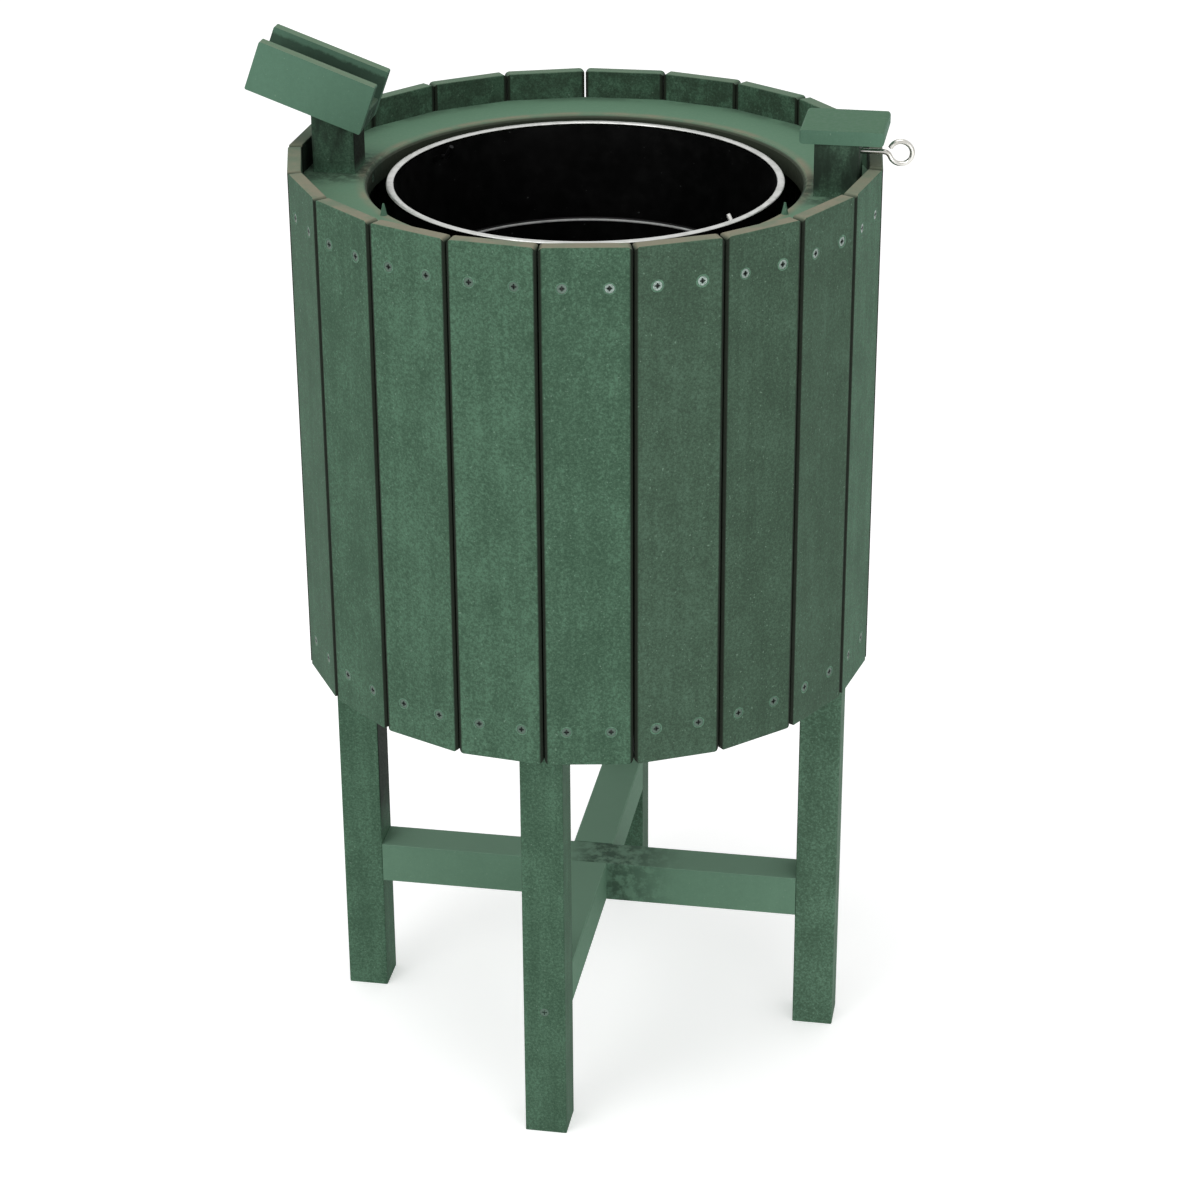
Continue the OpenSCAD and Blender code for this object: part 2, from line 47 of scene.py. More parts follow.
# camera: where it stands (m), how far it is turned, tipped down and rolled (degrees),
# and its focal length in pixels of the 1200 pixel wide picture
cameraPlan = {
    "place": (0.461, -2.571, 1.667),
    "turn": -9.93,
    "down": 25.43,
    "roll": -0.31,
    "focalPixels": 3137,
    "pictureWidth": 1200,
    "sensor": 36,
}


def makeCamera(plan):
    turn, down, roll = (math.radians(plan[k]) for k in ("turn", "down", "roll"))
    flat = math.cos(down)
    ahead = Vector((math.sin(turn) * flat, math.cos(turn) * flat, -math.sin(down)))
    level = Vector((math.cos(turn), -math.sin(turn), 0))
    paintedTop = level.cross(ahead)
    # roll turns the level and upward directions about the line of sight
    across = math.cos(roll) * level + math.sin(roll) * paintedTop
    upward = math.cos(roll) * paintedTop - math.sin(roll) * level
    data = bpy.data.cameras.new("photoCamera")
    data.sensor_width = plan["sensor"]
    data.lens = plan["sensor"] * plan["focalPixels"] / plan["pictureWidth"]
    camera = bpy.data.objects.new("photoCamera", data)
    bpy.context.scene.collection.objects.link(camera)
    rows = Matrix((across, upward, -ahead)).transposed().to_4x4()
    rows.translation = Vector(plan["place"])
    camera.matrix_world = rows
    bpy.context.scene.camera = camera


makeCamera(cameraPlan)
bpy.context.scene.view_settings.view_transform = "Standard"
print("camera set")


def linearColour(code):
    # each sRGB channel to linear light, and full alpha
    channels = [int(code[i : i + 2], 16) / 255 for i in (1, 3, 5)]
    return [c / 12.92 if c <= 0.04045 else ((c + 0.055) / 1.055) ** 2.4 for c in channels] + [1.0]


def addNode(tree, kind, settings=None, links=None):
    # settings name inputs or attributes, and "stops" fills a colour ramp, its two ends first
    node = tree.nodes.new(kind)
    settings = dict(settings or {})
    for place, code in sorted(settings.pop("stops", []), key=lambda stop: 0 < stop[0] < 1):
        ramp = node.color_ramp.elements
        stop = ramp[0] if place == 0 else ramp[-1] if place == 1 else ramp.new(place)
        stop.color = linearColour(code)
    for key, value in settings.items():
        if isinstance(key, int) or key in node.inputs:
            node.inputs[key].default_value = value
        else:
            setattr(node, key, value)
    for key, source in (links or {}).items():
        tree.links.new(source, node.inputs[key])
    return node


def newMaterial(name):
    material = bpy.data.materials.new(name)
    material.use_nodes = True
    tree = material.node_tree
    shader = tree.nodes["Principled BSDF"]
    place = addNode(tree, "ShaderNodeTexCoord").outputs["Object"]
    return material, tree, shader, place


def fill(tree, node, values):
    # numbers and colour codes go on the node's own sockets, and everything else is linked
    for key, value in values.items():
        if isinstance(value, str):
            node.inputs[key].default_value = linearColour(value)
        elif isinstance(value, (int, float)):
            node.inputs[key].default_value = value
        else:
            tree.links.new(value, node.inputs[key])


def mathOf(tree, operation, *values):
    # more than two values are taken from left to right
    result = values[0]
    for value in values[1:] or (0.0,):
        node = addNode(tree, "ShaderNodeMath", {"operation": operation})
        fill(tree, node, {0: result, 1: value})
        result = node.outputs[0]
    return result


def restOf(tree, share):
    return mathOf(tree, "SUBTRACT", 1.0, share)


def lengthOf(tree, first, second):
    # the root of first squared plus second squared
    squares = [mathOf(tree, "MULTIPLY", part, part) for part in (first, second)]
    return mathOf(tree, "SQRT", mathOf(tree, "ADD", *squares))


def spread(tree, value, low, high, outLow=0.0, outHigh=1.0):
    # stretches value from low..high to outLow..outHigh with soft ends
    settings = {"interpolation_type": "SMOOTHSTEP", 1: low, 2: high, 3: outLow, 4: outHigh}
    return addNode(tree, "ShaderNodeMapRange", settings, {"Value": value}).outputs[0]


def mixColours(tree, share, first, second):
    node = addNode(tree, "ShaderNodeMix", {"data_type": "RGBA"}, {0: share})
    # sockets 6, 7 and 2 are the two colours and the result of a colour mix
    fill(tree, node, {6: first, 7: second})
    return node.outputs[2]


def noiseOf(tree, place, sizeMm, detail=3.0, roughness=0.55):
    # a noise whose spots are about sizeMm across, because Object coordinates are metres
    settings = {"Scale": 1000 / sizeMm, "Detail": detail, "Roughness": roughness}
    return addNode(tree, "ShaderNodeTexNoise", settings, {"Vector": place}).outputs[0]


def patchesOf(tree, place, sizeMm, span):
    # ragged patches; span is where the noise starts and ends, and the share at either end
    return spread(tree, noiseOf(tree, place, sizeMm, 5.0, 0.65), *span)


def drawnOut(tree, place, scale):
    return addNode(tree, "ShaderNodeMapping", {"Scale": scale}, {"Vector": place}).outputs[0]


def axesOf(tree, vector):
    return addNode(tree, "ShaderNodeSeparateXYZ", {}, {0: vector}).outputs


def normalOf(tree):
    return axesOf(tree, addNode(tree, "ShaderNodeNewGeometry").outputs["Normal"])


def reachOf(tree, place):
    # distance from the tub's axis
    axes = axesOf(tree, place)
    return lengthOf(tree, axes["X"], axes["Y"])


def addBump(tree, shader, height, strength, distance):
    settings = {"Strength": strength, "Distance": distance}
    bump = addNode(tree, "ShaderNodeBump", settings, {"Height": height})
    tree.links.new(bump.outputs[0], shader.inputs["Normal"])


# the tub as the frame's source states it: boards, their slits, the deck's hole, the distance of
# the posts and of the screws (m, degrees)
tubPlan = {
    "count": 21,
    "phase": 1.5,
    "pitch": 0.0772,
    "wallOut": 0.25609,
    "holeRadius": 0.18909,
    "deckTop": 0.83,
    "postReach": 0.219,
    "screwSide": 0.019,
    "screwHeights": (0.8205, 0.4225),
}


def slitDistance(tree, place, plan=tubPlan):
    # turns from the first slit in steps of one board, and how far that is from a whole number
    axes = axesOf(tree, place)
    angle = mathOf(tree, "ARCTAN2", axes["Y"], axes["X"])
    steps = mathOf(tree, "MULTIPLY", angle, plan["count"] / (2 * math.pi))
    steps = mathOf(tree, "ADD", steps, (90 - plan["phase"]) * plan["count"] / 360)
    off = mathOf(tree, "SUBTRACT", steps, mathOf(tree, "ROUND", steps))
    return mathOf(tree, "MULTIPLY", mathOf(tree, "ABSOLUTE", off), plan["pitch"])


def headDistance(tree, place, plan=tubPlan):
    # distance from the nearest stave screw's axis, along the board and up it
    fromMiddle = mathOf(tree, "SUBTRACT", plan["pitch"] / 2, slitDistance(tree, place))
    along = mathOf(tree, "SUBTRACT", fromMiddle, plan["screwSide"])
    height = axesOf(tree, place)["Z"]
    ups = [mathOf(tree, "SUBTRACT", height, screw) for screw in plan["screwHeights"]]
    ups = [mathOf(tree, "ABSOLUTE", up) for up in ups]
    return lengthOf(tree, along, mathOf(tree, "MINIMUM", *ups))


# recycled plastic lumber: extruded polyethylene, coloured right through, so the eye sees a dull
# green with soft paler and darker cells some millimetres wide, faint streaks along the board, dust
# and painted light on what looks up, and dirt with painted shade in the slits
mottledLook = {
    "deep": "#35503E",
    "body": "#435F4C",
    "pale": "#547660",
    # the tones of what looks up are painted light and shade
    "paintedTopDeep": "#4E6D59",
    "paintedTopPale": "#587863",
    "speck": "#7F9C88",
    "dust": "#817D6B",
    "grooveDirtAndShade": "#151B13",
    "cellMm": 2.5,
    "grainMm": 1.3,
    "blotchMm": 38,
    "streakMm": 9,
    "speckMm": 2.4,
    "streakStretch": 0.08,
    "contrast": 0.13,
    "bleach": 0.95,
    "bumpMm": 0.2,
    "bumpStrength": 0.5,
    "roughness": (0.62, 0.82),
    "specular": 0.14,
}
# planed bars and plates of the same lumber: paler and much more even
planedLook = dict(
    mottledLook,
    deep="#527460",
    body="#587A66",
    pale="#5E816D",
    paintedTopDeep="#56765F",
    paintedTopPale="#5C7D66",
    cellMm=4.2,
    contrast=0.3,
    bleach=0.1,
    bumpMm=0.1,
)
# darker copies of the board lumber, a painted shade for the boards on the right, and what else is a
# little off in tone
shadedBoardLook = dict(mottledLook, deep="#35483A", body="#415847", pale="#516C5A", contrast=0.16)
# lighter copies for the two posts, painted light where the tub's shade falls, the right one lighter
# still
litLegLook = dict(mottledLook, deep="#395442", body="#476551", pale="#597C65")
moreLitLegLook = dict(mottledLook, deep="#3F5846", body="#4D6A56", pale="#61826C")
pushedLook = dict(mottledLook, deep="#4A6856", body="#577964", pale="#688B75", bleach=0.0)
deckLook = dict(planedLook, paintedTopDeep="#5B7D66", paintedTopPale="#62856D")
capLook = dict(planedLook, paintedTopDeep="#4A6A55", paintedTopPale="#507159", bleach=0.0)
holderLook = dict(planedLook, bleach=0.4)
# a lighter copy for the brace, painted light where the tub's shade falls on it, its tops lighter
# still
litBraceLook = dict(
    planedLook,
    deep="#5C7E68",
    body="#62846E",
    pale="#688B74",
    paintedTopDeep="#7A9D86",
    paintedTopPale="#80A38C",
    bleach=0.0,
)


def recycledLumber(name, seed, look=mottledLook, shade=0.0, extras=None):
    material, tree, shader, place = newMaterial(name)
    # each seed shows another part of one endless pattern
    offset = (seed * 0.37, seed * 0.91, seed * 0.53)
    moved = addNode(tree, "ShaderNodeMapping", {"Location": offset}, {"Vector": place}).outputs[0]
    drawn = drawnOut(tree, moved, (1, 1, look["streakStretch"]))
    cells = noiseOf(tree, moved, look["cellMm"], 3.0, 0.6)
    grain = noiseOf(tree, moved, look["grainMm"], 2.0, 0.6)
    blotch = noiseOf(tree, moved, look["blotchMm"], 4.0, 0.6)
    streak = noiseOf(tree, drawn, look["streakMm"], 2.0)
    # tone is the weighted sum of the four patterns, each about a half on average
    weights = ((cells, 0.4), (grain, 0.3), (blotch, 0.18), (streak, 0.12))
    tone = mathOf(tree, "ADD", *[mathOf(tree, "MULTIPLY", *pair) for pair in weights])
    width = look["contrast"]
    tone = spread(tree, tone, 0.5 - width + shade, 0.5 + width + shade)
    stops = [(0, look["deep"]), (0.5, look["body"]), (1, look["pale"])]
    colour = addNode(tree, "ShaderNodeValToRGB", {"stops": stops}, {"Fac": tone}).outputs[0]
    speck = spread(tree, noiseOf(tree, moved, look["speckMm"], 1.0), 0.7, 0.78, 0, 0.5)
    colour = mixColours(tree, speck, colour, look["speck"])
    # what looks up gets painted light and shade in tones of its own, and dust that thins out from
    # the front to the rear
    upward = spread(tree, normalOf(tree)["Z"], 0.4, 0.9)
    front = spread(tree, axesOf(tree, place)["Y"], 0.12, -0.12, 0.25, 1)
    dusty = mathOf(tree, "MULTIPLY", upward, front, look["bleach"])
    dusty = mathOf(tree, "MULTIPLY", dusty, spread(tree, blotch, 0.3, 0.6, 0.45, 1))
    paintedTop = mixColours(tree, tone, look["paintedTopDeep"], look["paintedTopPale"])
    colour = mixColours(tree, upward, colour, paintedTop)
    colour = mixColours(tree, dusty, colour, look["dust"])
    if extras:
        colour = extras(tree, place, colour, blotch, upward, look)
    roughness = spread(tree, cells, 0.3, 0.7, *look["roughness"])
    values = {"Base Color": colour, "Roughness": roughness, "Specular IOR Level": look["specular"]}
    fill(tree, shader, values)
    height = mathOf(tree, "ADD", *[mathOf(tree, "MULTIPLY", k, 0.5) for k in (cells, grain)])
    addBump(tree, shader, height, look["bumpStrength"], look["bumpMm"] / 1000)
    return material


# dirt and painted shade on the boards: each span runs from none to full, measured (m) from a slit's
# middle, from the tub's axis, or from the plane through the two posts
boardDirtAndShade = {
    "slit": (0.0042, 0.0023),
    "slitShare": 0.97,
    "topLoses": 0.7,
    "inner": (0.2505, 0.249, 0, 0.58),
    "innerShadeColour": "#222A20",
    "patchMm": 16,
    "patches": (0.36, 0.6, 0.3, 1),
    "postSide": (0.07, 0.035),
    "postInner": (0.2515, 0.2495, 0, 0.85),
    "postShadowColour": "#0E130E",
}


def slitDirtAndShade(tree, place, colour, blotch, upward, look, plan=boardDirtAndShade):
    # the slits get dirt and painted shade, and the boards' inner faces get painted shade in patches
    near = spread(tree, slitDistance(tree, place), *plan["slit"])
    kept = restOf(tree, mathOf(tree, "MULTIPLY", upward, plan["topLoses"]))
    near = mathOf(tree, "MULTIPLY", near, kept, plan["slitShare"])
    colour = mixColours(tree, near, colour, look["grooveDirtAndShade"])
    inner = spread(tree, reachOf(tree, place), *plan["inner"])
    patches = patchesOf(tree, place, plan["patchMm"], plan["patches"])
    inner = mathOf(tree, "MULTIPLY", inner, restOf(tree, upward), patches)
    colour = mixColours(tree, inner, colour, plan["innerShadeColour"])
    # behind the two posts the faces get a painted shadow, nearly black
    behind = spread(tree, mathOf(tree, "ABSOLUTE", axesOf(tree, place)["Y"]), *plan["postSide"])
    behind = mathOf(tree, "MULTIPLY", behind, spread(tree, reachOf(tree, place), *plan["postInner"]))
    behind = mathOf(tree, "MULTIPLY", behind, restOf(tree, upward))
    return mixColours(tree, behind, colour, plan["postShadowColour"])


# the deck: spans are distances from the hole's edge, from the tub's axis or from a post (m)
deckBandAndShade = {
    "band": (0.012, 0.005),
    "bandPatches": (0.35, 0.6, 0.25, 0.85),
    "bandColour": "#827F6B",
    "wall": (0.0026, 0.0008),
    "wallShadeColour": "#394034",
    "corner": (0.228, 0.244, 0, 0.5),
    "cornerPatches": (0.35, 0.6),
    "cornerShadeColour": "#37493C",
    "foot": (0.062, 0.03, 0, 0.75),
    "footMm": 9,
    "footPatches": (0.36, 0.58, 0.25, 1),
    "footShadowColour": "#2B3A2F",
}


def routedEdgeAndShade(tree, place, colour, blotch, upward, look, plan=deckBandAndShade):
    # the cutter left the hole's edge browner, and the hole's wall is painted dark as shade
    reach = reachOf(tree, place)
    edge = tubPlan["holeRadius"]
    band = spread(tree, reach, *[edge + k for k in plan["band"]])
    band = mathOf(tree, "MULTIPLY", band, upward, spread(tree, blotch, *plan["bandPatches"]))
    colour = mixColours(tree, band, colour, plan["bandColour"])
    wall = spread(tree, reach, *[edge + k for k in plan["wall"]])
    colour = mixColours(tree, wall, colour, plan["wallShadeColour"])
    # painted shade in the corner where the deck meets the boards
    corner = spread(tree, reach, *plan["corner"])
    corner = mathOf(tree, "MULTIPLY", corner, spread(tree, blotch, *plan["cornerPatches"]))
    colour = mixColours(tree, corner, colour, plan["cornerShadeColour"])
    # a painted shadow lies round the feet of the two posts, in patches
    axes = axesOf(tree, place)
    beside = mathOf(tree, "SUBTRACT", mathOf(tree, "ABSOLUTE", axes["X"]), tubPlan["postReach"])
    foot = spread(tree, lengthOf(tree, beside, axes["Y"]), *plan["foot"])
    patches = patchesOf(tree, place, plan["footMm"], plan["footPatches"])
    return mixColours(tree, mathOf(tree, "MULTIPLY", foot, patches), colour, plan["footShadowColour"])


# the two posts: heights (m), and how far the normal looks back at the tub's axis
postShadePlan = {
    "patchStretch": (1, 1, 0.35),
    "patchMm": 14,
    "patches": (0.36, 0.68, 0.95, 0.3),
    "patchShadeColour": "#263229",
    "aboveDeck": (-0.002, 0.01),
    "inward": (-0.08, -0.17, 0, 0.9),
    "inwardShadeColour": "#10150F",
    "shadowedStretch": (0.15, 0.2),
    "ragged": 0.03,
    "raggedMm": 12,
    "tubFoot": 0.42,
}


def postShade(tree, place, colour, blotch, upward, look, plan=postShadePlan):
    # above the deck the posts get painted shade in long patches
    drawn = drawnOut(tree, place, plan["patchStretch"])
    patches = spread(tree, noiseOf(tree, drawn, plan["patchMm"], 4.0, 0.6), *plan["patches"])
    axes = axesOf(tree, place)
    high = spread(tree, axes["Z"], *[tubPlan["deckTop"] + k for k in plan["aboveDeck"]])
    colour = mixColours(tree, mathOf(tree, "MULTIPLY", patches, high), colour, plan["patchShadeColour"])
    # there their inner faces, which look at the tub's axis, get a nearly black painted shade, and so
    # does the shadowed stretch between the brace and the tub
    inward = mathOf(tree, "MULTIPLY", normalOf(tree)["X"], axes["X"])
    inward = spread(tree, inward, *plan["inward"])
    ragged = mathOf(tree, "MULTIPLY", noiseOf(tree, place, plan["raggedMm"], 4.0), plan["ragged"])
    shadowedStretch = spread(tree, mathOf(tree, "SUBTRACT", axes["Z"], ragged), *plan["shadowedStretch"])
    below = mathOf(tree, "LESS_THAN", axes["Z"], plan["tubFoot"])
    shadowedStretch = mathOf(tree, "MULTIPLY", shadowedStretch, below)
    inward = mathOf(tree, "MULTIPLY", inward, mathOf(tree, "MAXIMUM", high, shadowedStretch))
    return mixColours(tree, inward, colour, plan["inwardShadeColour"])


# the brace's crossing: distance from the tub's axis, and the side to the right of it (m)
crossingShadePlan = {
    "near": (0.1, 0.03, 0, 0.75),
    "right": (-0.03, 0.01),
    "patchMm": 11,
    "patches": (0.38, 0.6, 0.2, 1),
    "colour": "#2A3B30",
}


def crossingShade(tree, place, colour, blotch, upward, look, plan=crossingShadePlan):
    # painted shade darkens the long bar to the right of the crossing
    near = spread(tree, reachOf(tree, place), *plan["near"])
    right = spread(tree, axesOf(tree, place)["X"], *plan["right"])
    patches = patchesOf(tree, place, plan["patchMm"], plan["patches"])
    return mixColours(tree, mathOf(tree, "MULTIPLY", near, right, patches), colour, plan["colour"])


# the holder: its tilt (degrees), its plates' height, half its channel's width, and how deep below
# the plates' upper edges the painted shade starts (m)
holderPlan = {
    "tilt": 20,
    "height": 0.045,
    "inside": (0.0205, 0.0192),
    "depth": (0.0065, 0.0095, 0.12, 0.7),
    "ragged": 0.006,
    "raggedMm": 5.0,
    "patches": (0.3, 0.6, 0.75, 1),
    "colour": "#222C24",
}
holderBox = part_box("holder_plate_rear")
holderMiddle = [(low + high) / 2 for low, high in zip(*holderBox)]


def channelShade(tree, place, colour, blotch, upward, look, plan=holderPlan):
    # painted shade, for the front plate's shadow, covers the faces inside the holder's channel and
    # stops short of the plates' edges: the height across the channel is x times the sine plus z
    # times the cosine of the tilt
    sine, cosine = math.sin(math.radians(plan["tilt"])), math.cos(math.radians(plan["tilt"]))
    edge = holderMiddle[0] * sine + holderMiddle[2] * cosine + plan["height"] / 2
    axes = axesOf(tree, place)
    inside = spread(tree, mathOf(tree, "ABSOLUTE", axes["Y"]), *plan["inside"])
    parts = [mathOf(tree, "MULTIPLY", axes[k], share) for k, share in (("X", sine), ("Z", cosine))]
    ragged = noiseOf(tree, place, plan["raggedMm"], 4.0, 0.6)
    ragged = mathOf(tree, "MULTIPLY", ragged, plan["ragged"])
    depth = mathOf(tree, "SUBTRACT", edge, mathOf(tree, "ADD", *parts))
    depth = mathOf(tree, "ADD", depth, ragged)
    inside = mathOf(tree, "MULTIPLY", inside, spread(tree, depth, *plan["depth"]))
    inside = mathOf(tree, "MULTIPLY", inside, spread(tree, blotch, *plan["patches"]))
    return mixColours(tree, inside, colour, plan["colour"])


# zinc-plated steel heads: grey and half glossy where bare, green and dull where dust settled and to
# the left of brightFrom (m); the cross recess and what lies round it get a painted shade, so the eye
# sees a dark dot in a pale ring
zincLook = {
    "bare": "#8D9C95",
    "dulled": "#3F5A4A",
    "recessShade": "#141B18",
    "recessShadeSpan": (0.0024, 0.0013, 0, 0.92),
    "grimeMm": 1.6,
    "grimePatches": (0.45, 0.65, 0.0, 0.55),
    "fade": 0.04,
    "roughness": (0.28, 0.5),
}


def zincScrew(name, brightFrom, shadedRecess=True, look=zincLook):
    material, tree, shader, place = newMaterial(name)
    grime = noiseOf(tree, place, look["grimeMm"], 3.0)
    across = axesOf(tree, place)["X"]
    left = spread(tree, across, brightFrom, brightFrom - look["fade"], 0, 0.9)
    share = mathOf(tree, "MAXIMUM", spread(tree, grime, *look["grimePatches"]), left)
    colour = mixColours(tree, share, look["bare"], look["dulled"])
    if shadedRecess:
        recessShade = spread(tree, headDistance(tree, place), *look["recessShadeSpan"])
        colour = mixColours(tree, recessShade, colour, look["recessShade"])
    metal = spread(tree, share, 0.1, 0.9, 0.7, 0.1)
    roughness = spread(tree, grime, 0.3, 0.7, *look["roughness"])
    fill(tree, shader, {"Base Color": colour, "Metallic": metal, "Roughness": roughness})
    return material


# bright steel: polished, so it mirrors its surroundings through a thin uneven smear
rimSteelLook = {
    "tone": "#CDCECB",
    "smear": "#B3B5B1",
    "rough": 0.36,
    "enamelBelow": 0.8288,
    "enamelFade": 0.0003,
    "enamel": "#0B0B0C",
}
eyeSteelLook = {"tone": "#DAD9D4", "smear": "#A5A299", "rough": 0.22}


def brightSteel(name, look):
    material, tree, shader, place = newMaterial(name)
    smear = noiseOf(tree, place, 12.0, 2.0)
    colour = mixColours(tree, spread(tree, smear, 0.4, 0.7, 0, 0.6), look["tone"], look["smear"])
    if "enamel" in look:
        # the wall's black enamel runs up under the roll
        edge = (look["enamelBelow"], look["enamelBelow"] - look["enamelFade"])
        below = spread(tree, axesOf(tree, place)["Z"], *edge)
        colour = mixColours(tree, below, colour, look["enamel"])
    roughness = spread(tree, smear, 0.3, 0.7, look["rough"] * 0.8, look["rough"] * 1.4)
    fill(tree, shader, {"Base Color": colour, "Metallic": 1.0, "Roughness": roughness})
    return material


# black baked enamel on sheet steel: almost pure black, satin, with slight orange peel and grey
# specks; the crest is the line on the bead that gets a painted highlight (m)
enamelLook = {
    "body": "#030303",
    "dusty": "#101110",
    "speck": "#4A4D4C",
    "crest": "#D8DAD8",
    "crestHeight": 0.74,
    "crestSpan": (0.0014, 0.0006),
    "peelMm": 2.2,
    "dustMm": 14.0,
    "speckMm": 3.0,
    "roughness": (0.3, 0.45),
    "specular": 0.12,
    "bumpStrength": 0.12,
    "bumpMm": 0.2,
}


def blackEnamel(name, highlightedBead=False, look=enamelLook):
    material, tree, shader, place = newMaterial(name)
    peel = noiseOf(tree, place, look["peelMm"], 2.0)
    dust = noiseOf(tree, place, look["dustMm"], 5.0, 0.7)
    specks = spread(tree, noiseOf(tree, place, look["speckMm"], 1.0), 0.76, 0.8, 0, 0.5)
    colour = mixColours(tree, spread(tree, dust, 0.5, 0.85, 0, 0.5), look["body"], look["dusty"])
    colour = mixColours(tree, specks, colour, look["speck"])
    if highlightedBead:
        # a painted highlight in grey along the stiffening bead's crest
        axes = axesOf(tree, place)
        off = mathOf(tree, "ABSOLUTE", mathOf(tree, "SUBTRACT", axes["Z"], look["crestHeight"]))
        crest = spread(tree, off, *look["crestSpan"])
        # only inside, where the normal looks back at the pail's axis
        normal = normalOf(tree)
        outward = mathOf(tree, "ADD", *[mathOf(tree, "MULTIPLY", normal[k], axes[k]) for k in "XY"])
        crest = mathOf(tree, "MULTIPLY", crest, spread(tree, outward, 0.0, -0.02))
        crest = mathOf(tree, "MULTIPLY", crest, spread(tree, dust, 0.3, 0.6, 0.7, 1))
        colour = mixColours(tree, crest, colour, look["crest"])
    roughness = spread(tree, dust, 0.3, 0.7, *look["roughness"])
    values = {"Base Color": colour, "Roughness": roughness, "Specular IOR Level": look["specular"]}
    fill(tree, shader, values)
    addBump(tree, shader, peel, look["bumpStrength"], look["bumpMm"] / 1000)
    return material


# black-coated wire: glossy black, rubbed to bare bright steel at the hook that the hand meets
# first, which is nearer the tub's axis than bareWithin and to the right of bareFrom (m)
wireLook = {
    "coat": "#0C0C0D",
    "bare": "#E6E5E1",
    "bareWithin": 0.1625,
    "bareFrom": 0.0,
    "wearMm": 3.0,
    "wearDepth": 0.002,
    "roughness": (0.34, 0.48),
    "specular": 0.15,
}


def coatedWire(name, look=wireLook):
    material, tree, shader, place = newMaterial(name)
    wear = noiseOf(tree, place, look["wearMm"], 3.0)
    ragged = mathOf(tree, "MULTIPLY", wear, look["wearDepth"])
    reach = mathOf(tree, "ADD", reachOf(tree, place), ragged)
    bare = spread(tree, reach, look["bareWithin"], look["bareWithin"] - 0.002)
    right = spread(tree, axesOf(tree, place)["X"], look["bareFrom"], look["bareFrom"] + 0.01)
    bare = mathOf(tree, "MULTIPLY", bare, right)
    values = {
        "Base Color": mixColours(tree, bare, look["coat"], look["bare"]),
        "Metallic": mathOf(tree, "MULTIPLY", bare, 0.9),
        "Roughness": spread(tree, wear, 0.3, 0.7, *look["roughness"]),
        "Specular IOR Level": look["specular"],
    }
    fill(tree, shader, values)
    return material


# turned beech: pale brown, dry, with fine darker pores along the dowel
beechLook = {
    "pore": "#8A6C48",
    "wood": "#B99A70",
    "poreMm": 1.2,
    "poreStretch": (1, 0.1, 1),
    "roughness": (0.6, 0.8),
}


def beechDowel(name, look=beechLook):
    material, tree, shader, place = newMaterial(name)
    drawn = drawnOut(tree, place, look["poreStretch"])
    pores = noiseOf(tree, drawn, look["poreMm"], 4.0, 0.6)
    colour = mixColours(tree, spread(tree, pores, 0.35, 0.65), look["pore"], look["wood"])
    roughness = spread(tree, pores, 0.3, 0.7, *look["roughness"])
    fill(tree, shader, {"Base Color": colour, "Roughness": roughness})
    return material


def dress(names, material):
    for name in names:
        slots = nodes[name].data.materials
        slots.clear()
        slots.append(material)


# seven seeds of one lumber, so that neighbouring boards differ a little in pattern and tone; the
# last two are darker copies, a painted shade, and stand on the right
boardPlan = {
    "shades": (0.0, -0.012, 0.016, 0.008, -0.016, 0.0, 0.012),
    "firstShaded": 5,
    "order": (3, 5, 6, 5, 1, 0, 2, 4, 1, 3, 0, 4, 2, 1, 3, 4, 0, 2, 3, 1, 4),
}


def dressBoards(plan):
    lumber = []
    for k, shade in enumerate(plan["shades"]):
        look = mottledLook if k < plan["firstShaded"] else shadedBoardLook
        lumber.append(recycledLumber(f"boardLumber{k + 1}", 3.1 + 2.7 * k, look, shade, slitDirtAndShade))
    for k, pick in enumerate(plan["order"]):
        dress([f"stave_{k + 1:02d}"], lumber[pick])


dressBoards(boardPlan)
dress(["leg_left"], recycledLumber("postLumber1", 21.4, litLegLook, extras=postShade))
dress(["leg_right"], recycledLumber("postLumber2", 23.1, moreLitLegLook, extras=postShade))
dress(["leg_front", "leg_rear"], recycledLumber("legLumber", 24.8))
slats1 = ["floor_slat_front", "floor_slat_mid_rear"]
dress(slats1, recycledLumber("slatLumber1", 31.9, shade=0.05))
slats2 = ["floor_slat_mid_front", "floor_slat_rear", "base_ring"]
dress(slats2, recycledLumber("slatLumber2", 35.2, shade=0.03))
dress(["deck_ring"], recycledLumber("routedLumber", 8.3, deckLook, extras=routedEdgeAndShade))
dress(["rim_stops", "cap_board"], recycledLumber("capLumber", 11.6, capLook))
dress(["brace_long"], recycledLumber("braceLumber1", 14.7, litBraceLook, extras=crossingShade))
dress(["brace_front", "brace_rear"], recycledLumber("braceLumber2", 19.2, litBraceLook))
holderParts = ["holder_plate_front", "holder_plate_rear", "holder_floor"]
dress(holderParts, recycledLumber("holderLumber", 17.3, holderLook, extras=channelShade))
# 0.5 m lies beyond the tub, so the lower heads and those of the frame are dull everywhere
dress(["stave_screws_top"], zincScrew("zincBright", 0.055))
dress(["stave_screws_bottom"], zincScrew("zincDulledStaves", 0.5))
frameScrews = ["leg_screws", "brace_screws", "slat_screws", "holder_screws"]
dress(frameScrews, zincScrew("zincDulled", 0.5, shadedRecess=False))
dress(["brace_dowel", "holder_dowels", "cap_dowel", "leg_dowels"], beechDowel("beechDowel"))
dress(["pail_body"], blackEnamel("blackEnamelWall", highlightedBead=True))
dress(["pail_base"], blackEnamel("blackEnamelBase"))
dress(["pail_ears", "ear_rivets"], blackEnamel("blackEnamelFittings"))
dress(["pail_handle"], coatedWire("coatedWire"))
rimSteel = brightSteel("rolledRimSteel", rimSteelLook)
eyeSteel = brightSteel("drawnEyeSteel", eyeSteelLook)
dress(["pail_rim"], rimSteel)
dress(["eye_screw"], eyeSteel)
